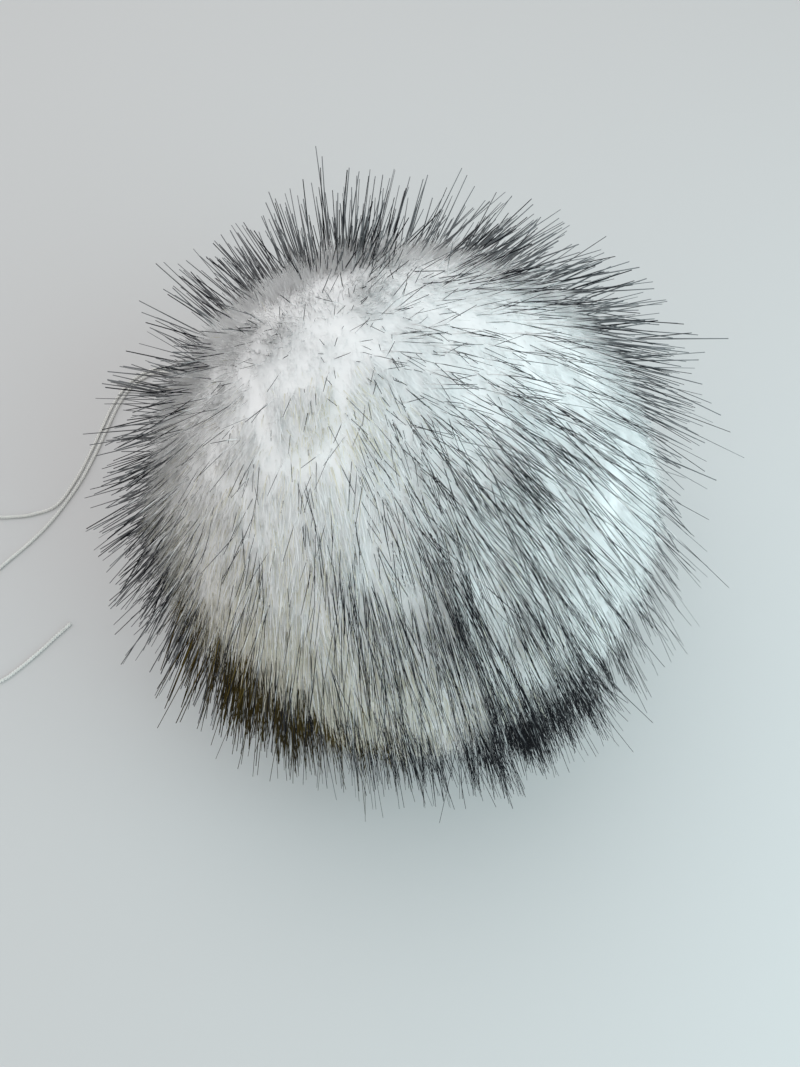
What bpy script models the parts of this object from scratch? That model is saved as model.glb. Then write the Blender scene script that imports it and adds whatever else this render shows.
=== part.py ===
"""A faux-fur hat pom pom at rest: a ball of long tufted pile on a small flat spot, and its two tie threads.

Lengths are in metres and +Z is up. The ball stands on z = 0 with the origin under the middle of its width.
"""

import math

import bmesh
import bpy
import numpy as np
from mathutils import Vector

# The ball's pile, out to where its tufts end.
BALL_RADIUS = 0.0575  # across the valleys between tufts
BALL_HALF_HEIGHT = 0.0520
REST_DEPTH = 0.0460  # the ball's centre above the surface it rests on
BALL_SUBDIVISIONS = 5  # an icosphere of 5120 faces

# The tufts: pointed locks of pile that lean along the nap.
TUFT_COUNT = 190
TUFT_HEIGHT = 0.0075
TUFT_LENGTH = 0.27  # along the nap, as an angle on the ball in radians
TUFT_WIDTH = 0.165
TUFT_DROOP = 0.07  # how far a tuft's point lies down the nap from its middle
TUFT_SPREAD = 0.35  # how unequal the tufts' heights are
TUFT_SEED = 12

# The nap leans away from the crown, which is the top of the ball.
NAP_AZIMUTH = math.radians(-56)
NAP_LEAN = math.tan(math.radians(31))

# Under the ball the pile is pressed flat and has no tufts.
PRESSED_FROM = -0.90  # height of the surface normal where the tufts have died out
PRESSED_TO = -0.55  # and where they stand at their full height

# Broad swellings of the pile: azimuth and elevation in degrees, how far out, and how wide in radians.
SWELLING_COLUMNS = ("azimuth", "elevation", "height", "width")
SWELLINGS = (
    (-50, 5, 0.0020, 0.55),
    (30, 10, 0.0012, 0.50),
    (150, 15, 0.0010, 0.45),
    (-120, -5, 0.0014, 0.45),
    (80, 35, -0.0010, 0.50),
)

# The tie threads.
THREAD_DIAMETER = 0.0010
THREAD_LIFT = 0.00005  # clear of the surface, so that neither thread reaches under the ball's flat spot
THREAD_BEVEL_RESOLUTION = 2
PAIR_SPACING = 0.0015  # between the two threads' middles where they run side by side

# The middle line between the two threads, from the ball's underside to where they part.
PAIR_ROUTE = (
    (-0.0211, 0.0218),
    (-0.0285, 0.0296),
    (-0.0370, 0.0388),
    (-0.0460, 0.0485),
    (-0.0548, 0.0575),
    (-0.0635, 0.0642),
    (-0.0722, 0.0655),
    (-0.0788, 0.0615),
    (-0.0826, 0.0545),
    (-0.0849, 0.0460),
    (-0.0871, 0.0373),
    (-0.0897, 0.0288),
)

# Each thread's own route from there to its free end.
SHORT_TAIL = (
    (-0.0945, 0.0208),
    (-0.1005, 0.0180),
    (-0.1051, 0.0173),
    (-0.1091, 0.0171),
    (-0.1145, 0.0176),
    (-0.1190, 0.0188),
)
LONG_TAIL = (
    (-0.0926, 0.0205),
    (-0.0962, 0.0142),
    (-0.1003, 0.0088),
    (-0.1040, 0.0047),
    (-0.1085, -0.0006),
    (-0.1128, -0.0070),
    (-0.1156, -0.0145),
    (-0.1153, -0.0220),
    (-0.1115, -0.0283),
    (-0.1055, -0.0302),
    (-0.1001, -0.0285),
    (-0.0964, -0.0256),
    (-0.0916, -0.0207),
    (-0.0879, -0.0164),
    (-0.0850, -0.0132),
)

SHORT_THREAD_POINTS = 33
LONG_THREAD_POINTS = 47
FINE_STEPS = 24  # samples of the smooth curve between one route point and the next
BEND_WEIGHT = 0.006  # metres of straight thread that get as many points as a bend of one radian

PILE_COLOR = (0.80, 0.81, 0.82, 1.0)
PILE_ROUGHNESS = 0.85
THREAD_COLOR = (0.88, 0.87, 0.84, 1.0)
THREAD_ROUGHNESS = 0.75


def clear_scene():
    for item in list(bpy.data.objects):
        bpy.data.objects.remove(item)


def plain_material(name, color, roughness):
    material = bpy.data.materials.new(name)
    material.use_nodes = True
    shader = material.node_tree.nodes["Principled BSDF"]
    shader.inputs["Base Color"].default_value = color
    shader.inputs["Roughness"].default_value = roughness
    return material


def unit_rows(rows):
    return rows / np.linalg.norm(rows, axis=1, keepdims=True)


def direction(azimuth, elevation):
    """The unit vector at these angles, in degrees."""
    turn, rise = math.radians(azimuth), math.radians(elevation)
    return np.array([math.cos(turn) * math.cos(rise), math.sin(turn) * math.cos(rise), math.sin(rise)])


def nap_at(normals):
    """Which way the nap runs along the ball: the crown's direction, carried straight down every side."""
    crown = np.array([0.0, 0.0, 1.0])
    start = np.array([math.cos(NAP_AZIMUTH), math.sin(NAP_AZIMUTH), 0.0])
    beyond_foot = np.maximum(1.0 + normals @ crown, 1e-3)
    carried = start - ((normals @ start) / beyond_foot)[:, None] * (crown + normals)
    return unit_rows(carried - (carried * normals).sum(axis=1)[:, None] * normals)


def hair_at(normals):
    """The way the pile points: outwards, leaning along the nap."""
    return unit_rows(normals + NAP_LEAN * nap_at(normals))


def even_directions(count, rng):
    """Directions spread evenly over the ball, each moved a little at random."""
    index = np.arange(count) + 0.5
    height = 1.0 - 2.0 * index / count
    turn = index * math.pi * (3.0 - math.sqrt(5.0))
    across = np.sqrt(1.0 - height**2)
    even = np.stack([across * np.cos(turn), across * np.sin(turn), height], axis=1)
    jitter = 0.9 / math.sqrt(count)
    return unit_rows(even + rng.normal(0.0, jitter, even.shape))


def tuft_profile(normals):
    """How high the tufts stand at each normal, from 0 between tufts to about 1 at a point."""
    rng = np.random.default_rng(TUFT_SEED)
    middles = even_directions(TUFT_COUNT, rng)
    naps = nap_at(middles)
    heights = 1.0 - TUFT_SPREAD * rng.random(TUFT_COUNT)
    offsets = normals[:, None, :] - middles[None, :, :]
    along = (offsets * naps[None, :, :]).sum(axis=2)
    across = np.sqrt(np.maximum((offsets**2).sum(axis=2) - along**2, 0.0))
    along = along - TUFT_DROOP
    reach = np.sqrt((along / TUFT_LENGTH) ** 2 + (across / TUFT_WIDTH) ** 2)
    return np.max(heights[None, :] * np.clip(1.0 - reach, 0.0, 1.0), axis=1)


def pressed_mask(normals):
    """0 on the underside where the pile is pressed flat, 1 above it."""
    share = np.clip((normals[:, 2] - PRESSED_FROM) / (PRESSED_TO - PRESSED_FROM), 0.0, 1.0)
    return share * share * (3.0 - 2.0 * share)


def swelling(normals):
    total = np.zeros(len(normals))
    for row in SWELLINGS:
        named = dict(zip(SWELLING_COLUMNS, row))
        towards = direction(named["azimuth"], named["elevation"])
        angle = np.arccos(np.clip(normals @ towards, -1.0, 1.0))
        total += named["height"] * np.exp(-((angle / named["width"]) ** 2))
    return total


def ball_surface(normals):
    """Points of the pile's outer form for unit normals of a ball, before it is set down."""
    size = np.array([BALL_RADIUS, BALL_RADIUS, BALL_HALF_HEIGHT])
    mask = pressed_mask(normals)
    lifted = normals * size + normals * (swelling(normals) * mask)[:, None]
    return lifted + hair_at(normals) * (TUFT_HEIGHT * tuft_profile(normals) * mask)[:, None]


def build_ball():
    """The ball of pile, set down on its flat spot."""
    shape = bmesh.new()
    bmesh.ops.create_icosphere(shape, subdivisions=BALL_SUBDIVISIONS, radius=1.0)
    normals = unit_rows(np.array([tuple(vertex.co) for vertex in shape.verts]))
    points = ball_surface(normals)
    points[:, :2] -= (points[:, :2].max(axis=0) + points[:, :2].min(axis=0)) / 2
    points[:, 2] = np.maximum(points[:, 2] + REST_DEPTH, 0.0)
    for vertex, point in zip(shape.verts, points):
        vertex.co = Vector(point)
    bmesh.ops.recalc_face_normals(shape, faces=shape.faces)
    mesh = bpy.data.meshes.new("fur_ball")
    shape.to_mesh(mesh)
    shape.free()
    for face in mesh.polygons:
        face.use_smooth = True
    ball = bpy.data.objects.new("fur_ball", mesh)
    ball.data.materials.append(plain_material("fur_ball", PILE_COLOR, PILE_ROUGHNESS))
    bpy.context.scene.collection.objects.link(ball)
    return ball


def beside(route, offset):
    """The route moved sideways, to the left of its own heading when the offset is positive."""
    points = np.array(route)
    heading = unit_rows(np.gradient(points, axis=0))
    left = np.stack([-heading[:, 1], heading[:, 0]], axis=1)
    return points + offset * left


def smooth_line(route):
    """Close samples of a smooth curve through the route's points."""
    points = np.array(route)
    padded = np.vstack([2 * points[0] - points[1], points, 2 * points[-1] - points[-2]])
    steps = np.linspace(0.0, 1.0, FINE_STEPS, endpoint=False)[:, None]
    pieces = []
    for before, start, end, after in zip(padded, padded[1:], padded[2:], padded[3:]):
        pieces.append(
            0.5
            * (
                2 * start
                + (end - before) * steps
                + (2 * before - 5 * start + 4 * end - after) * steps**2
                + (3 * start - before - 3 * end + after) * steps**3
            )
        )
    return np.vstack([*pieces, points[-1:]])


def spaced_points(line, count):
    """That many points along the line, closer together where it bends."""
    steps = np.diff(line, axis=0)
    lengths = np.linalg.norm(steps, axis=1)
    headings = np.unwrap(np.arctan2(steps[:, 1], steps[:, 0]))
    bends = np.abs(np.gradient(headings))
    measure = np.concatenate([[0.0], np.cumsum(lengths + BEND_WEIGHT * bends)])
    wanted = np.linspace(0.0, measure[-1], count)
    return np.stack([np.interp(wanted, measure, line[:, axis]) for axis in (0, 1)], axis=1)


def build_thread(name, route, count):
    """A round thread that lies along the route on the surface, with flat ends."""
    points = spaced_points(smooth_line(route), count)
    curve = bpy.data.curves.new(name, "CURVE")
    curve.dimensions = "3D"
    curve.bevel_depth = THREAD_DIAMETER / 2
    curve.bevel_resolution = THREAD_BEVEL_RESOLUTION
    curve.use_fill_caps = True
    line = curve.splines.new("POLY")
    line.points.add(count - 1)
    middle = THREAD_DIAMETER / 2 + THREAD_LIFT
    for knot, (x, y) in zip(line.points, points):
        knot.co = (x, y, middle, 1.0)
    line.use_smooth = True
    thread = bpy.data.objects.new(name, curve)
    thread.data.materials.append(plain_material(name, THREAD_COLOR, THREAD_ROUGHNESS))
    bpy.context.scene.collection.objects.link(thread)
    return thread


def build_threads():
    """The outer thread ends soon after the two part; the inner one turns back to its free end."""
    outer = np.vstack([beside(PAIR_ROUTE, -PAIR_SPACING / 2), SHORT_TAIL])
    inner = np.vstack([beside(PAIR_ROUTE, PAIR_SPACING / 2), LONG_TAIL])
    build_thread("tie_thread_short", outer, SHORT_THREAD_POINTS)
    build_thread("tie_thread_long", inner, LONG_THREAD_POINTS)


clear_scene()
build_ball()
build_threads()
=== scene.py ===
"""The looks of a faux-fur hat pom pom: white pile, black-tipped guard hairs and two twisted tie threads."""

import math

import bmesh
import bpy
import numpy as np
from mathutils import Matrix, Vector


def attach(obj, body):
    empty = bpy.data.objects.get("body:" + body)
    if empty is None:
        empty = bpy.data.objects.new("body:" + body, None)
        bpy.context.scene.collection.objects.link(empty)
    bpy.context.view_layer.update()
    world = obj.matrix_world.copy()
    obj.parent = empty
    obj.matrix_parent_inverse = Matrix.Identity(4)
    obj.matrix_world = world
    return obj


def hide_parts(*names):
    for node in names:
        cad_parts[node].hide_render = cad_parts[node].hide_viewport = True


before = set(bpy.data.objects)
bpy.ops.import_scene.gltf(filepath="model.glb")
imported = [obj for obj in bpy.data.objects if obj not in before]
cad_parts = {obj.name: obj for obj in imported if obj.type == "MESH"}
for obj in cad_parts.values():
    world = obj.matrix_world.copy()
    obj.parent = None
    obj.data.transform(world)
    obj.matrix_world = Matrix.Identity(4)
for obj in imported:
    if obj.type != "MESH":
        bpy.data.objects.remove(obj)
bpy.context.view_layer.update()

MM = 0.001


# ---------------------------------------------------------------- helpers
def unit(rows):
    return rows / np.maximum(np.linalg.norm(rows, axis=-1, keepdims=True), 1e-12)


def smoothstep(low, high, value):
    """0 at low, 1 at high and smooth between them; low may be the larger."""
    share = np.clip((value - low) / (high - low), 0.0, 1.0)
    return share * share * (3.0 - 2.0 * share)


def towards(azimuth, elevation):
    turn, rise = math.radians(azimuth), math.radians(elevation)
    return np.array([math.cos(turn) * math.cos(rise), math.sin(turn) * math.cos(rise), math.sin(rise)])


def even_directions(count, rng, jitter):
    """Directions spread evenly all round, then each moved a little at random."""
    index = np.arange(count) + 0.5
    height = 1.0 - 2.0 * index / count
    turn = index * math.pi * (3.0 - math.sqrt(5.0))
    across = np.sqrt(1.0 - height**2)
    even = np.stack([across * np.cos(turn), across * np.sin(turn), height], axis=1)
    return unit(even + rng.normal(0.0, jitter / math.sqrt(count), even.shape))


def triangle_mesh(name, points, faces, uvs=None):
    mesh = bpy.data.meshes.new(name)
    mesh.vertices.add(len(points))
    mesh.vertices.foreach_set("co", np.ascontiguousarray(points, np.float32).ravel())
    mesh.loops.add(faces.size)
    mesh.loops.foreach_set("vertex_index", np.ascontiguousarray(faces, np.int32).ravel())
    mesh.polygons.add(len(faces))
    mesh.polygons.foreach_set("loop_start", np.arange(0, faces.size, 3, dtype=np.int32))
    mesh.update(calc_edges=True)
    mesh.polygons.foreach_set("use_smooth", np.full(len(faces), True))
    if uvs is not None:
        layer = mesh.uv_layers.new(name="OFBake")
        layer.data.foreach_set("uv", np.ascontiguousarray(uvs, np.float32).ravel())
    mesh.validate()
    piece = bpy.data.objects.new(name, mesh)
    bpy.context.scene.collection.objects.link(piece)
    return piece


# ---------------------------------------------------------------- material helpers
def new_material(name, roughness, specular):
    material = bpy.data.materials.new(name)
    material.use_nodes = True
    tree = material.node_tree
    shader = tree.nodes["Principled BSDF"]
    shader.inputs["Roughness"].default_value = roughness
    shader.inputs["Specular IOR Level"].default_value = specular
    return material, tree, shader


def color_ramp(tree, stops):
    """A colour ramp with these stops, each a position and a colour."""
    ramp = tree.nodes.new("ShaderNodeValToRGB")
    elements = ramp.color_ramp.elements
    while len(elements) < len(stops):
        elements.new(0.5)
    for element, (position, color) in zip(elements, stops):
        element.position = position
        element.color = (*color, 1.0)
    return ramp


def mottle(tree, shader, scale, detail, stops):
    """Colours the shader by noise in the object's own space, and returns the noise."""
    where = tree.nodes.new("ShaderNodeTexCoord")
    noise = tree.nodes.new("ShaderNodeTexNoise")
    noise.inputs["Scale"].default_value = scale
    noise.inputs["Detail"].default_value = detail
    ramp = color_ramp(tree, stops)
    tree.links.new(where.outputs["Object"], noise.inputs["Vector"])
    tree.links.new(noise.outputs["Fac"], ramp.inputs["Fac"])
    tree.links.new(ramp.outputs["Color"], shader.inputs["Base Color"])
    return noise


def maths(tree, operation, first, *others):
    node = tree.nodes.new("ShaderNodeMath")
    node.operation = operation
    tree.links.new(first, node.inputs[0])
    for index, other in enumerate(others, start=1):
        if isinstance(other, float):
            node.inputs[index].default_value = other
        else:
            tree.links.new(other, node.inputs[index])
    return node.outputs[0]


# ---------------------------------------------------------------- camera
EYE = (-0.0011, -0.0921, 0.2144)
LOOK_DOWN = 64.0  # degrees below the horizon
LENS = 30.0
SENSOR_WIDTH = 36.0
CLIP_START = 0.01
CLIP_END = 20.0


def build_camera():
    data = bpy.data.cameras.new("camera")
    data.lens = LENS
    data.sensor_width = SENSOR_WIDTH
    data.clip_start = CLIP_START
    data.clip_end = CLIP_END
    camera = bpy.data.objects.new("camera", data)
    camera.location = EYE
    camera.rotation_euler = (math.radians(90.0 - LOOK_DOWN), 0.0, 0.0)
    bpy.context.scene.collection.objects.link(camera)
    bpy.context.scene.camera = camera


# ---------------------------------------------------------------- threads
THREAD_MIDDLE = 0.55 * MM  # height of a thread's middle line above the surface
PLIES = 2
PLY_RADIUS = 0.26 * MM
PLY_OFFSET = 0.24 * MM  # from the thread's middle to each ply's
PLY_LAY = 1.5 * MM  # the length of one full twist
PLY_SIDES = 7
RING_STEP = 0.19 * MM
END_TAPER = 0.3 * MM
END_THICKNESS = 0.35  # share of a ply's radius at its very end
CURVE_STEPS = 40  # fine steps between two points of a route
PAIR_SPACING = 1.5 * MM  # between the two threads' middles where they run side by side

THREAD_ROUGHNESS = 0.75
THREAD_SPECULAR = 0.25
THREAD_MOTTLE_SCALE = 2600.0
THREAD_MOTTLE_DETAIL = 3.0
THREAD_STOPS = (
    (0.3, (0.80, 0.80, 0.77)),
    (0.7, (0.93, 0.93, 0.90)),
)
THREAD_BUMP_STRENGTH = 0.5
THREAD_BUMP_HEIGHT = 0.08 * MM

# The middle line between the two threads, from under the ball's edge to where they part.
PAIR_ROUTE = (
    (-0.0211, 0.0218),
    (-0.0285, 0.0296),
    (-0.0370, 0.0388),
    (-0.0460, 0.0485),
    (-0.0548, 0.0575),
    (-0.0635, 0.0642),
    (-0.0722, 0.0655),
    (-0.0788, 0.0615),
    (-0.0826, 0.0545),
    (-0.0849, 0.0460),
    (-0.0871, 0.0373),
    (-0.0897, 0.0288),
)
# Where the short thread goes on alone.
SHORT_TAIL = (
    (-0.0945, 0.0208),
    (-0.1005, 0.0180),
    (-0.1051, 0.0173),
    (-0.1091, 0.0171),
    (-0.1145, 0.0176),
    (-0.1190, 0.0188),
)
# Where the long thread goes on alone, turns round outside the view and comes back.
LONG_TAIL = (
    (-0.0926, 0.0205),
    (-0.0962, 0.0142),
    (-0.1003, 0.0088),
    (-0.1040, 0.0047),
    (-0.1085, -0.0006),
    (-0.1128, -0.0070),
    (-0.1156, -0.0145),
    (-0.1153, -0.0220),
    (-0.1115, -0.0283),
    (-0.1055, -0.0302),
    (-0.1001, -0.0285),
    (-0.0964, -0.0256),
    (-0.0916, -0.0207),
    (-0.0879, -0.0164),
    (-0.0850, -0.0132),
)


def beside(route, offset):
    points = np.array(route)
    heading = unit(np.gradient(points, axis=0))
    left = np.stack([-heading[:, 1], heading[:, 0]], axis=1)
    return points + offset * left


def smooth_line(route):
    """A smooth curve through every point of the route."""
    points = np.array(route)
    padded = np.vstack([2 * points[0] - points[1], points, 2 * points[-1] - points[-2]])
    steps = np.linspace(0.0, 1.0, CURVE_STEPS, endpoint=False)[:, None]
    stretches = []
    for before, start, end, after in zip(padded, padded[1:], padded[2:], padded[3:]):
        stretches.append(
            0.5
            * (
                2 * start
                + (end - before) * steps
                + (2 * before - 5 * start + 4 * end - after) * steps**2
                + (3 * start - before - 3 * end + after) * steps**3
            )
        )
    return np.vstack([*stretches, points[-1:]])


def evenly(line, step):
    """Points at even steps along the line, and the line's length."""
    run = np.concatenate([[0.0], np.cumsum(np.linalg.norm(np.diff(line, axis=0), axis=1))])
    count = max(2, int(round(run[-1] / step)) + 1)
    wanted = np.linspace(0.0, run[-1], count)
    return np.stack([np.interp(wanted, run, column) for column in line.T], axis=1), run[-1]


def tube_faces(rings, sides):
    """The triangles of a closed tube whose rings of points follow one another, with a fan over each end."""
    corner = np.arange(sides)[None, :]
    a = np.arange(rings - 1)[:, None] * sides + corner
    b = a - corner + (corner + 1) % sides
    c, d = a + sides, b + sides
    walls = np.stack([a, d, b, a, c, d], axis=-1).reshape(-1, 3)
    near_end = np.array([[0, k, k + 1] for k in range(1, sides - 1)])
    far_end = near_end[:, ::-1] + (rings - 1) * sides
    return np.vstack([walls, near_end, far_end])


def build_thread(name, route, material):
    """A thread of twisted plies along the route, with its middle line and its length."""
    line, length = evenly(smooth_line(route), RING_STEP)
    path = np.column_stack([line, np.full(len(line), THREAD_MIDDLE)])
    along = unit(np.gradient(path, axis=0))
    side = unit(np.cross(along, [0.0, 0.0, 1.0]))
    up = np.cross(side, along)
    run = np.linspace(0.0, length, len(path))
    taper = np.clip(np.minimum(run, length - run) / END_TAPER, END_THICKNESS, 1.0)
    radius = (PLY_RADIUS * taper)[:, None]

    def out_at(angle):
        return np.cos(angle)[:, None] * side + np.sin(angle)[:, None] * up

    points, faces = [], []
    for ply in range(PLIES):
        turn = 2 * math.pi * (run / PLY_LAY + ply / PLIES)
        middle = path + PLY_OFFSET * out_at(turn)
        corners = [middle + radius * out_at(turn + 2 * math.pi * k / PLY_SIDES) for k in range(PLY_SIDES)]
        points.append(np.stack(corners, axis=1).reshape(-1, 3))
        faces.append(tube_faces(len(path), PLY_SIDES) + ply * len(path) * PLY_SIDES)
    thread = triangle_mesh(name, np.vstack(points), np.vstack(faces))
    thread.data.materials.append(material)
    return thread, path, length


def thread_material():
    material, tree, shader = new_material("twisted_thread", THREAD_ROUGHNESS, THREAD_SPECULAR)
    noise = mottle(tree, shader, THREAD_MOTTLE_SCALE, THREAD_MOTTLE_DETAIL, THREAD_STOPS)
    bump = tree.nodes.new("ShaderNodeBump")
    bump.inputs["Strength"].default_value = THREAD_BUMP_STRENGTH
    bump.inputs["Distance"].default_value = THREAD_BUMP_HEIGHT
    tree.links.new(noise.outputs["Fac"], bump.inputs["Height"])
    tree.links.new(bump.outputs["Normal"], shader.inputs["Normal"])
    return material


def build_threads():
    material = thread_material()
    for node, offset, tail, name in (
        ("tie_thread_short", -PAIR_SPACING / 2, SHORT_TAIL, "thread_short"),
        ("tie_thread_long", PAIR_SPACING / 2, LONG_TAIL, "thread_long"),
    ):
        route = np.vstack([beside(PAIR_ROUTE, offset), tail])
        thread, path, length = build_thread(name, route, material)
        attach(thread, "root")
        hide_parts(node)


# ---------------------------------------------------------------- how the pile lies
# A direction, or normal, is a unit vector outwards from the ball's middle.
CENTRE = np.array([0.0, 0.0, 46.0 * MM])
ROOT_SIZE = np.array([46.5, 46.5, 42.5]) * MM  # half the width, depth and height where the strands start
PRESSED_BELOW = -0.86  # roots lower than this are pressed out of sight under the ball

CROWN = np.array([0.0, 0.0, 1.0])
NAP = towards(-64, 0)  # the way the nap runs at the crown
LEAN = 45.0  # degrees from straight out, towards the nap
FRONT_LESS_LEAN = 10.0
SAG = 0.30
FLOOR_GAP = (0.2 * MM, 1.6 * MM)  # strands that would go through the floor lie this far above it
FLOOR_GAP_AT_ROOT = 0.3  # share of that gap

TUFT_COUNT = 210  # the white strands' groups
TUFT_SEED = 5
TUFT_JITTER = 1.1
CLUMP_COUNT = 1700  # the guard hairs' groups
CLUMP_SEED = 77
CLUMP_JITTER = 2.4
TUFTS = even_directions(TUFT_COUNT, np.random.default_rng(TUFT_SEED), TUFT_JITTER)
CLUMPS = even_directions(CLUMP_COUNT, np.random.default_rng(CLUMP_SEED), CLUMP_JITTER)

# Where dark hairs crowd together: azimuth, elevation and spread in degrees, and how many more or fewer.
DARK_LOCKS = (
    (-64, 1, 11, 5.5),
    (-54, 14, 9, 0.9),
    (-80, -2, 16, 0.3),
    (-104, 0, 18, 0.25),
    (-127, 0, 14, 1.3),
    (-58, 69, 20, 1.25),
    (-66, 44, 20, 0.30),
    (-95, 48, 22, 0.45),
    (100, 26, 28, 0.15),
    (170, 14, 32, 0.02),
    (155, 62, 24, -0.26),
    (-165, 45, 20, -0.20),
    (-138, 30, 16, -0.22),
    (-12, 50, 26, -0.29),
    (8, 6, 36, -0.27),
)
# Where the pile is painted brown and dark: partly a brown tint, partly painted shade under the lower-left
# fringe. Azimuth, elevation and spread in degrees, and how much.
BROWN_AND_SHADE_SPOTS = (
    (-126, -2, 14, 2.0),
    (-106, -9, 10, 1.1),
    (-146, 5, 9, 0.6),
)
# Where the white pile is painted a little cream and darker towards the roots: low on the left and front
# partly a cream tint and partly painted shade, near the whorl a cream stain. Azimuth, elevation and spread
# in degrees, and how much.
CREAM_AND_SHADE_SPOTS = (
    (-125, 12, 34, 1.0),
    (-95, 0, 28, 0.3),
    (-165, 72, 9, 0.5),
)


def spots(normals, table):
    """The sum of the table's soft spots at each direction."""
    total = np.zeros(len(normals))
    for azimuth, elevation, spread, more in table:
        angle = np.degrees(np.arccos(np.clip(normals @ towards(azimuth, elevation), -1.0, 1.0)))
        total += more * np.exp(-((angle / spread) ** 2))
    return total


def shown(normals):
    return normals[:, 2] > PRESSED_BELOW


def nap_at(normals):
    """The way the nap runs at each direction: its heading at the crown, carried down round the ball."""
    beyond_foot = np.maximum(1.0 + normals @ CROWN, 1e-3)
    carried = NAP - ((normals @ NAP) / beyond_foot)[:, None] * (CROWN + normals)
    return unit(carried - (carried * normals).sum(axis=1)[:, None] * normals)


def headings(normals, wander, more_lean=0.0):
    """The way each strand points: outwards, laid over along the nap, and sagging a little."""
    outward = unit(normals / ROOT_SIZE * ROOT_SIZE.mean())
    lean = np.radians(LEAN + more_lean + FRONT_LESS_LEAN * normals[:, 1])
    heading = unit(outward + np.tan(lean)[:, None] * nap_at(normals) + wander)
    heading[:, 2] -= SAG
    return unit(heading)


def grow(normals, length, heading, bend, segments):
    """Paths of strands: one row of points each, nearly straight from the root outwards."""
    share = np.linspace(0.0, 1.0, segments + 1)[None, :, None]
    root = CENTRE + normals * ROOT_SIZE
    reach = length[:, None, None]
    return root[:, None, :] + heading[:, None, :] * reach * share + bend[:, None, :] * reach * share**2


def gather(paths, guides, strength, power):
    """Draws each strand towards its guide, more and more towards the tip."""
    share = np.linspace(0.0, 1.0, paths.shape[1])
    pull = strength[:, None] * share[None, :] ** power
    return paths + pull[:, :, None] * (guides - paths)


def lay_on_floor(paths, rng):
    least = rng.uniform(*FLOOR_GAP, len(paths))
    rising = np.linspace(FLOOR_GAP_AT_ROOT, 1.0, paths.shape[1])
    paths[:, :, 2] = np.maximum(paths[:, :, 2], least[:, None] * rising[None, :])
    return paths


# ---------------------------------------------------------------- strands as meshes
# On the strands' map, v runs from root to tip, and each kind of strand has its own stretch of u.
# The third stretch holds brown strands painted dark, partly their own brown and partly painted shade under
# the lower-left fringe.
PLAIN, MIDDLE, STAINED_AND_SHADED = 0.02, 0.35, 0.69  # where each stretch starts
STRETCH = 0.25
BEFORE_STRETCH = 0.02  # the materials change this far before a stretch starts
MAP_EDGE = 0.02
RIBBON_MAP_STEP = 0.02  # along u, from one side of a strand to the next
PRISM_MAP_STEP = 0.006
PRISM_SIDES = 3
OFF_AXIS = np.array([0.3, 0.1, 0.2])


def kinds_of(rng, stained_and_shaded, middle):
    """The place of each strand on its map: its kind, and a place of its own within that kind."""
    draw = rng.random(len(stained_and_shaded))
    start = np.where(draw < stained_and_shaded, STAINED_AND_SHADED, np.where(draw < stained_and_shaded + middle, MIDDLE, PLAIN))
    return start + rng.uniform(0.0, STRETCH, len(stained_and_shaded))


def strand_mesh(name, rings, places, map_step):
    """Tapering strands in one mesh. Rings holds count x levels x sides points, flat if there are 2 sides."""
    count, levels, sides = rings.shape[:3]
    base = (np.arange(count) * levels * sides)[:, None]
    faces, uvs = [], []

    def add_face(*corners):
        faces.append(base + np.array([[level * sides + side % sides for side, level in corners]]))
        rows = []
        for side, level in corners:
            v = MAP_EDGE + (1.0 - 2 * MAP_EDGE) * level / (levels - 1)
            rows.append(np.stack([places + side * map_step, np.full(count, v)], axis=-1))
        uvs.append(np.stack(rows, axis=1))

    for side in range(1 if sides == 2 else sides):
        for level in range(levels - 1):
            add_face((side, level), (side + 1, level), (side + 1, level + 1))
            add_face((side, level), (side + 1, level + 1), (side, level + 1))
    if sides == PRISM_SIDES:
        add_face((0, levels - 1), (1, levels - 1), (2, levels - 1))
    faces = np.stack(faces, axis=1).reshape(-1, 3)
    uvs = np.stack(uvs, axis=1).reshape(-1, 2)
    return triangle_mesh(name, rings.reshape(-1, 3), faces, uvs)


def ribbons(name, paths, widths, sideways, places):
    half = widths[:, :, None] / 2 * sideways
    return strand_mesh(name, np.stack([paths - half, paths + half], axis=2), places, RIBBON_MAP_STEP)


def prisms(name, paths, radii, places):
    along = unit(np.gradient(paths, axis=1))
    across = unit(np.cross(along, np.roll(along, 1, axis=-1) + OFF_AXIS))
    other = np.cross(along, across)
    corners = []
    for k in range(PRISM_SIDES):
        angle = 2 * math.pi * k / PRISM_SIDES
        outward = math.cos(angle) * across + math.sin(angle) * other
        corners.append(paths + radii[:, :, None] * outward)
    return strand_mesh(name, np.stack(corners, axis=2), places, PRISM_MAP_STEP)


def finish_strands(piece, material):
    piece.data.materials.append(material)
    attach(piece, "root")


# ---------------------------------------------------------------- white underfur
WHITE_PIECES = 3
WHITE_PER_PIECE = 32000
WHITE_SEED = 11  # of the first piece; the next pieces have the next numbers
WHITE_JITTER = 1.2
WHITE_SEGMENTS = 3
WHITE_LENGTH = 10.8 * MM
WHITE_LENGTHS = (0.70, 1.0, 1.30)  # least, usual and most, as shares of it
WHITE_WIDTH = 0.30 * MM
WHITE_WIDTHS = (0.7, 1.2)  # least and most, as shares of it
WHITE_TIP_WIDTH = 0.3
WHITE_TURNED = 0.7  # how far a ribbon may turn from lying flat
WHITE_MORE_LEAN = 9.0  # degrees
WHITE_WANDER = 0.16
WHITE_BEND = 0.07
WHITE_GATHERED = (0.05, 0.34)
WHITE_GATHER_POWER = 1.6
TUFT_SHAPE_SEED = 6
TUFT_LENGTH_SPREAD = 0.06
TUFT_WANDER = 0.07
TUFT_WANDER_SHARED = 0.5
TUFT_GUIDE = 1.08  # share of the usual length
STAIN_AND_SHADE_POWER = 1.3
SHADING_TILT = 0.10


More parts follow.
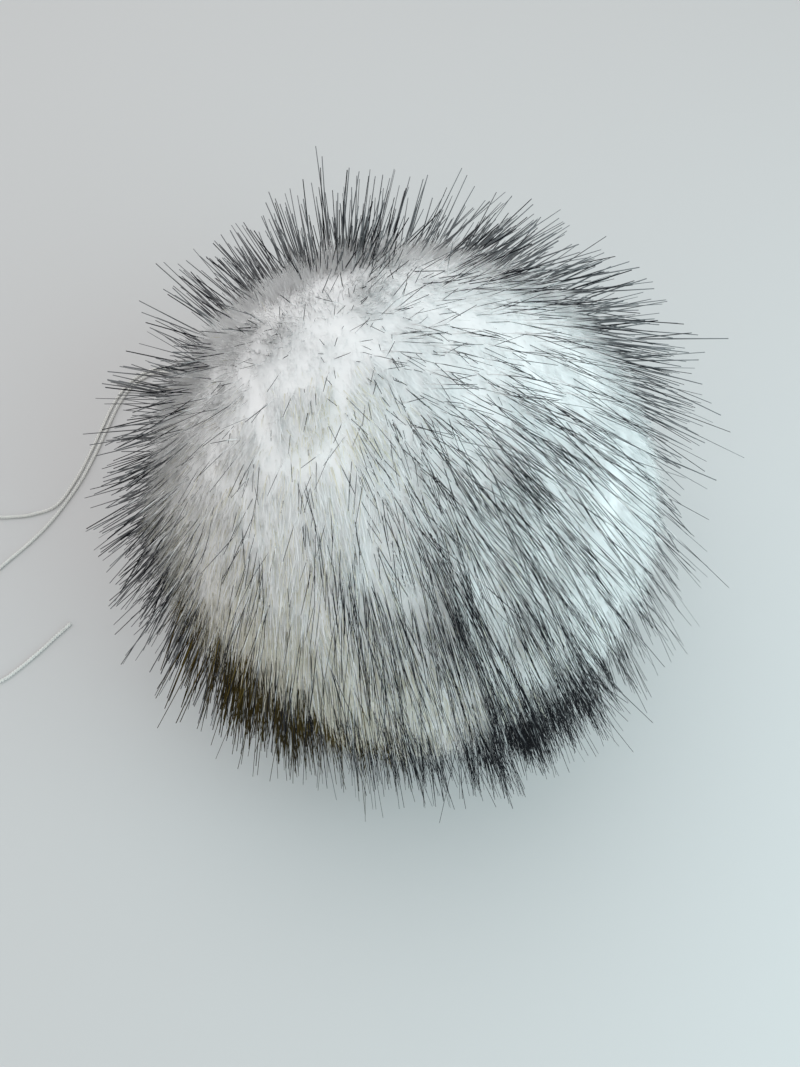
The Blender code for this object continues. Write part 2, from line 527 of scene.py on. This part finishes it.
def nearest(normals, centres):
    """The index of the centre nearest to each direction, found in batches to save memory."""
    batch = 4000
    found = np.empty(len(normals), np.int64)
    for start in range(0, len(normals), batch):
        found[start : start + batch] = np.argmax(normals[start : start + batch] @ centres.T, axis=1)
    return found


def smooth_out(piece, rng, points_per_strand):
    """Shades ribbons nearly by the ball's own roundness, so that the pile looks soft."""
    count = len(piece.data.vertices)
    points = np.empty(count * 3, np.float32)
    piece.data.vertices.foreach_get("co", points)
    tilt = rng.normal(0.0, SHADING_TILT, (count // points_per_strand, 3))
    outward = unit(points.reshape(-1, 3) - CENTRE)
    shaded = unit(outward + np.repeat(tilt, points_per_strand, axis=0))
    piece.data.normals_split_custom_set_from_vertices(shaded.tolist())


def build_white_strands(name, seed, material):
    rng = np.random.default_rng(seed)
    normals = even_directions(WHITE_PER_PIECE, rng, WHITE_JITTER)
    normals = normals[shown(normals)]
    n = len(normals)
    tuft = nearest(normals, TUFTS)
    tuft_rng = np.random.default_rng(TUFT_SHAPE_SEED)
    tuft_length = tuft_rng.normal(1.0, TUFT_LENGTH_SPREAD, TUFT_COUNT)
    tuft_wander = tuft_rng.normal(0.0, TUFT_WANDER, (TUFT_COUNT, 3))

    length = WHITE_LENGTH * rng.triangular(*WHITE_LENGTHS, n) * tuft_length[tuft]
    wander = rng.normal(0.0, WHITE_WANDER, (n, 3)) + TUFT_WANDER_SHARED * tuft_wander[tuft]
    heading = headings(normals, wander, WHITE_MORE_LEAN)
    bend = rng.normal(0.0, WHITE_BEND, (n, 3))
    paths = grow(normals, length, heading, bend, WHITE_SEGMENTS)
    guide_length = WHITE_LENGTH * TUFT_GUIDE * tuft_length
    guide_heading = headings(TUFTS, tuft_wander, WHITE_MORE_LEAN)
    guides = grow(TUFTS, guide_length, guide_heading, 0.0 * TUFTS, WHITE_SEGMENTS)
    paths = gather(paths, guides[tuft], rng.uniform(*WHITE_GATHERED, n), WHITE_GATHER_POWER)
    paths = lay_on_floor(paths, rng)

    along = unit(np.gradient(paths, axis=1))
    turned = WHITE_TURNED * rng.uniform(-1.0, 1.0, n)[:, None, None]
    outward = unit(paths - CENTRE)
    sideways = unit(np.cross(along, outward) + turned * outward)
    profile = np.linspace(1.0, WHITE_TIP_WIDTH, WHITE_SEGMENTS + 1)
    widths = WHITE_WIDTH * profile[None, :] * rng.uniform(*WHITE_WIDTHS, n)[:, None]
    # Brown strands where the fringe hangs in shadow: partly a brown tint, partly painted shade.
    stained_and_shaded = spots(normals, BROWN_AND_SHADE_SPOTS) ** STAIN_AND_SHADE_POWER
    # Cream strands, partly a cream tint and partly painted shade on the shaded lower left.
    places = kinds_of(rng, stained_and_shaded, spots(normals, CREAM_AND_SHADE_SPOTS))
    piece = ribbons(name, paths, widths, sideways, places)
    smooth_out(piece, rng, 2 * (WHITE_SEGMENTS + 1))
    finish_strands(piece, material)


# ---------------------------------------------------------------- guard hairs
GUARD_COUNT = 7000
GUARD_ROOT_SEED = 31
GUARD_SEED = 41  # of the first piece; the second has the next number
GUARD_SEGMENTS = 2
GUARD_LENGTH = 23.8 * MM
GUARD_LENGTHS = (0.48, 0.86, 1.14)  # least, usual and most, as shares of the clump's length
GUARD_RADIUS = 0.072 * MM
GUARD_RADII = (0.75, 1.2)  # least and most, as shares of it
GUARD_PROFILE = np.array([1.0, 1.0, 0.65])  # at the root, the middle and the tip
GUARD_WANDER = 0.09
GUARD_BEND = 0.035
GUARD_GATHERED = (0.0, 0.12)
GUARD_GATHER_POWER = 1.4
LONGEST_SHARE = 0.05
LONGEST_MORE = (1.08, 1.30)
LENGTH_LIMIT = (1.05, 1.28)  # as shares of the usual length at that place
STRAY_SHARE = 0.05
STRAY_WANDER = 0.30
CLUMP_SHAPE_SEED = 78
CLUMP_WANDER = 0.12
CLUMP_LENGTH_SPREAD = 0.13
CLUMP_GUIDE = 0.95  # share of the clump's length

USUAL_CROWDING = 0.40
LEAST_CROWDING = 0.07
CLUMP_EVENNESS = 4.5
ALONG_FLOW = 0.115  # how far a clump's roots spread along the way they lie
ALL_ROUND = 0.016  # and how far every way

# Round the whorl the hairs are shorter and point more ways, and at the back they are longer.
WHORL = unit(np.array([-0.28, 0.22, 0.93]))
WHORL_REACH = (0.50, 0.97)  # how near to the whorl that starts and is full, as cosines
WHORL_SHORTER = 0.26
WHORL_WANDER = 0.16
LONGER_TOWARDS = unit(np.array([0.40, 0.85, 0.20]))
LONGER = 0.17

# Hairs are coarse away from the combed side and low on the ball, but not at the front foot.
COMBED_SIDE = unit(np.array([0.0, -0.48, 0.88]))
COMBED_REACH = (0.62, 0.25)
FINER_TO_THE_RIGHT = 0.20
LOW_REACH = (0.35, -0.1)
FRONT_FOOT = towards(-66, -20)
FRONT_FOOT_REACH = (0.2, 0.8)
COARSE_THICKER = 1.15
COARSE_FEWER = 0.50
COARSE_UNEVEN = 0.9
COARSE_GATHERED = (0.0, 0.5)

BROWN_SHARE = 0.9
GREY_SHARE = 0.08
COARSE_GREYER = 0.75
RIGHT_EDGE = towards(5, 8)
RIGHT_REACH = (0.55, 0.95)
RIGHT_GREYER = 0.4


def whorl_share(normals):
    return smoothstep(*WHORL_REACH, normals @ WHORL)


def usual_length(normals):
    longer = 1.0 + LONGER * (normals @ LONGER_TOWARDS)
    return GUARD_LENGTH * longer * (1.0 - WHORL_SHORTER * whorl_share(normals))


def coarseness(normals):
    """How coarse the guard hairs are, from 0 to 1."""
    combed = normals @ COMBED_SIDE + FINER_TO_THE_RIGHT * np.maximum(normals[:, 0], 0.0)
    edge = np.maximum(smoothstep(*COMBED_REACH, combed), smoothstep(*LOW_REACH, normals[:, 2]))
    return edge * (1.0 - smoothstep(*FRONT_FOOT_REACH, normals @ FRONT_FOOT))


def guard_roots():
    """Roots in small groups, more of them where the table of locks says so."""
    rng = np.random.default_rng(GUARD_ROOT_SEED)
    coarse = coarseness(CLUMPS)
    crowding = np.maximum(USUAL_CROWDING + spots(CLUMPS, DARK_LOCKS), LEAST_CROWDING)
    chance = rng.gamma(CLUMP_EVENNESS, 1 / CLUMP_EVENNESS, CLUMP_COUNT) ** (1.0 + COARSE_UNEVEN * coarse)
    weight = crowding * (1.0 - COARSE_FEWER * coarse) * shown(CLUMPS) * chance
    clump = rng.choice(CLUMP_COUNT, size=GUARD_COUNT, p=weight / weight.sum())
    along_flow = headings(CLUMPS, 0.0)[clump] * rng.normal(0.0, ALONG_FLOW, (GUARD_COUNT, 1))
    normals = unit(CLUMPS[clump] + along_flow + rng.normal(0.0, ALL_ROUND, (GUARD_COUNT, 3)))
    keep = shown(normals)
    return normals[keep], clump[keep]


def build_guard_hairs(name, normals, clump, seed, material):
    rng = np.random.default_rng(seed)
    n = len(normals)
    clump_rng = np.random.default_rng(CLUMP_SHAPE_SEED)
    clump_wander = clump_rng.normal(0.0, CLUMP_WANDER, (CLUMP_COUNT, 3))
    clump_length = usual_length(CLUMPS) * clump_rng.normal(1.0, CLUMP_LENGTH_SPREAD, CLUMP_COUNT)
    coarse = coarseness(normals)

    length = clump_length[clump] * rng.triangular(*GUARD_LENGTHS, n)
    longest = rng.random(n) < LONGEST_SHARE
    length *= np.where(longest, rng.uniform(*LONGEST_MORE, n), 1.0)
    length = np.minimum(length, rng.uniform(*LENGTH_LIMIT, n) * usual_length(normals))
    stray = (rng.random(n) < STRAY_SHARE)[:, None]
    wander = clump_wander[clump] + rng.normal(0.0, GUARD_WANDER, (n, 3))
    wander += whorl_share(normals)[:, None] * rng.normal(0.0, WHORL_WANDER, (n, 3))
    wander += stray * rng.normal(0.0, STRAY_WANDER, (n, 3))
    bend = rng.normal(0.0, GUARD_BEND, (n, 3))
    paths = grow(normals, length, headings(normals, wander), bend, GUARD_SEGMENTS)
    guide_heading = headings(CLUMPS, clump_wander)
    guides = grow(CLUMPS, CLUMP_GUIDE * clump_length, guide_heading, 0.0 * CLUMPS, GUARD_SEGMENTS)
    gathered = rng.uniform(*GUARD_GATHERED, n) + rng.uniform(*COARSE_GATHERED, n) * coarse
    paths = gather(paths, guides[clump], np.where(longest, 0.0, gathered), GUARD_GATHER_POWER)
    paths = lay_on_floor(paths, rng)

    thickness = rng.uniform(*GUARD_RADII, n) * (1.0 + COARSE_THICKER * coarse)
    radii = GUARD_RADIUS * GUARD_PROFILE[None, :] * thickness[:, None]
    # Brown guard hairs in the same place: partly their own brown, partly painted shade.
    brown = BROWN_SHARE * spots(normals, BROWN_AND_SHADE_SPOTS)
    right = smoothstep(*RIGHT_REACH, normals @ RIGHT_EDGE)
    grey = GREY_SHARE + COARSE_GREYER * coarse + RIGHT_GREYER * right
    finish_strands(prisms(name, paths, radii, kinds_of(rng, brown, grey)), material)


# ---------------------------------------------------------------- the pile's materials
# Colours from root to tip: how far along, and the colour there.
WHITE_STOPS = (
    (0.00, (0.88, 0.88, 0.88)),
    (0.50, (0.91, 0.91, 0.91)),
    (0.80, (0.93, 0.93, 0.93)),
)
# Cream strands, darker at the root: partly a cream tint, partly painted shade on the lower left.
CREAM_AND_SHADE_STOPS = (
    (0.00, (0.60, 0.56, 0.43)),
    (0.50, (0.74, 0.71, 0.59)),
    (0.80, (0.83, 0.81, 0.71)),
)
# Brown strands, darkest at the root: partly their own brown, partly painted shade under the lower-left
# fringe.
SHADED_OLIVE_STOPS = (
    (0.00, (0.045, 0.032, 0.006)),
    (0.50, (0.085, 0.063, 0.015)),
    (0.80, (0.155, 0.125, 0.045)),
)
BLACK_GUARD_STOPS = (
    (0.00, (0.88, 0.88, 0.88)),
    (0.36, (0.88, 0.88, 0.88)),
    (0.46, (0.04, 0.04, 0.045)),
    (0.64, (0.010, 0.010, 0.013)),
    (0.80, (0.012, 0.012, 0.015)),
)
GREY_GUARD_STOPS = (
    (0.00, (0.88, 0.88, 0.88)),
    (0.28, (0.88, 0.88, 0.88)),
    (0.42, (0.20, 0.20, 0.205)),
    (0.62, (0.10, 0.101, 0.106)),
    (0.80, (0.20, 0.20, 0.205)),
)
# Brown guard hairs, darkest towards the tip: partly their own brown, partly painted shade under the
# lower-left fringe.
SHADED_BROWN_GUARD_STOPS = (
    (0.00, (0.28, 0.22, 0.09)),
    (0.26, (0.18, 0.135, 0.04)),
    (0.42, (0.095, 0.066, 0.018)),
    (0.60, (0.048, 0.033, 0.009)),
    (0.80, (0.036, 0.027, 0.010)),
)
STRAND_ROUGHNESS = 0.8
STRAND_SPECULAR = 0.06
OWN_SHIFT = -0.22  # the most that a strand's colours are moved along it
OWN_SHIFT_REPEATS = 11.0  # how often that move runs through its range along u

MASS_ROUGHNESS = 0.9
MASS_SPECULAR = 0.1
MASS_MOTTLE_SCALE = 60.0
MASS_MOTTLE_DETAIL = 2.0
MASS_STOPS = (
    (0.35, (0.88, 0.88, 0.88)),
    (0.65, (0.94, 0.94, 0.94)),
)


def strand_material(name, *kinds):
    """Colours from root to tip along v, for the three kinds of strand that lie side by side along u."""
    material, tree, shader = new_material(name, STRAND_ROUGHNESS, STRAND_SPECULAR)
    chart = tree.nodes.new("ShaderNodeUVMap")
    chart.uv_map = "OFBake"
    split = tree.nodes.new("ShaderNodeSeparateXYZ")
    tree.links.new(chart.outputs["UV"], split.inputs["Vector"])
    own = maths(tree, "FRACT", maths(tree, "MULTIPLY", split.outputs["X"], OWN_SHIFT_REPEATS))
    along = maths(tree, "MULTIPLY_ADD", own, OWN_SHIFT, split.outputs["Y"])
    color = None
    for start, stops in zip((PLAIN, MIDDLE, STAINED_AND_SHADED), kinds):
        ramp = color_ramp(tree, stops)
        tree.links.new(along, ramp.inputs["Fac"])
        if color is None:
            color = ramp.outputs["Color"]
            continue
        mix = tree.nodes.new("ShaderNodeMix")
        mix.data_type = "RGBA"
        in_stretch = maths(tree, "GREATER_THAN", split.outputs["X"], start - BEFORE_STRETCH)
        tree.links.new(in_stretch, mix.inputs["Factor"])
        tree.links.new(color, mix.inputs[6])  # the colour A
        tree.links.new(ramp.outputs["Color"], mix.inputs[7])  # the colour B
        color = mix.outputs[2]  # the mixed colour
    tree.links.new(color, shader.inputs["Base Color"])
    return material


def mass_material():
    material, tree, shader = new_material("white_underfur", MASS_ROUGHNESS, MASS_SPECULAR)
    mottle(tree, shader, MASS_MOTTLE_SCALE, MASS_MOTTLE_DETAIL, MASS_STOPS)
    return material


# ---------------------------------------------------------------- the ball
MASS_SIZE = np.array([50.4, 50.4, 46.2]) * MM  # half the width, depth and height of the white mass
MASS_SUBDIVISIONS = 5


def build_body(material):
    """The white mass under the strands, flat where it rests."""
    shape = bmesh.new()
    bmesh.ops.create_icosphere(shape, subdivisions=MASS_SUBDIVISIONS, radius=1.0)
    normals = unit(np.array([tuple(vertex.co) for vertex in shape.verts]))
    points = CENTRE + normals * MASS_SIZE
    points[:, 2] = np.maximum(points[:, 2], 0.0)
    for vertex, point in zip(shape.verts, points):
        vertex.co = Vector(point)
    mesh = bpy.data.meshes.new("fur_body")
    shape.to_mesh(mesh)
    shape.free()
    mesh.polygons.foreach_set("use_smooth", np.full(len(mesh.polygons), True))
    body = bpy.data.objects.new("fur_body", mesh)
    body.data.materials.append(material)
    bpy.context.scene.collection.objects.link(body)
    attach(body, "root")
    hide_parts("fur_ball")


def build_fur():
    build_body(mass_material())
    white = strand_material("white_strands", WHITE_STOPS, CREAM_AND_SHADE_STOPS, SHADED_OLIVE_STOPS)
    guard = strand_material("guard_hairs", BLACK_GUARD_STOPS, GREY_GUARD_STOPS, SHADED_BROWN_GUARD_STOPS)
    for index in range(WHITE_PIECES):
        build_white_strands(f"underfur_{index}", WHITE_SEED + index, white)
    roots, clump = guard_roots()
    half = len(roots) // 2
    for index, part in enumerate((slice(half), slice(half, None))):
        build_guard_hairs(f"guard_hairs_{index}", roots[part], clump[part], GUARD_SEED + index, guard)


# ---------------------------------------------------------------- surroundings
FLOOR_SIZE = 6.0
FLOOR_COLOR = (0.595, 0.595, 0.595, 1.0)
FLOOR_ROUGHNESS = 0.65
FLOOR_SPECULAR = 0.5
SKY_COLOR = (1.0, 0.99, 0.98, 1.0)
SKY_STRENGTH = 0.72
LIGHT_SIZE = 0.5
# Round lights: name, where it is, where it points, power and colour.
LIGHTS = (
    ("key", (0.36, -0.22, 0.28), (0.20, -0.08, 0.0), 1.45, (0.62, 0.94, 1.0)),
    ("top", (-0.12, 0.16, 0.55), (0.0, 0.0, 0.03), 0.65, (0.93, 0.96, 1.0)),
)


def build_floor():
    bpy.ops.mesh.primitive_plane_add(size=FLOOR_SIZE, location=(0.0, 0.0, 0.0))
    floor = bpy.context.object
    floor.name = "floor"
    material, _, shader = new_material("pale_table", FLOOR_ROUGHNESS, FLOOR_SPECULAR)
    shader.inputs["Base Color"].default_value = FLOOR_COLOR
    floor.data.materials.append(material)


def build_light():
    world = bpy.data.worlds.new("studio")
    bpy.context.scene.world = world
    world.use_nodes = True
    background = world.node_tree.nodes["Background"]
    background.inputs["Color"].default_value = SKY_COLOR
    background.inputs["Strength"].default_value = SKY_STRENGTH
    for name, place, target, power, color in LIGHTS:
        data = bpy.data.lights.new(name, "AREA")
        data.shape = "DISK"
        data.size = LIGHT_SIZE
        data.energy = power
        data.color = color
        light = bpy.data.objects.new(name, data)
        light.location = place
        light.rotation_euler = (Vector(target) - Vector(place)).to_track_quat("-Z", "Y").to_euler()
        bpy.context.scene.collection.objects.link(light)
    bpy.context.scene.view_settings.view_transform = "Standard"
    bpy.context.scene.view_settings.look = "None"


build_camera()
build_threads()
build_fur()
build_floor()
build_light()
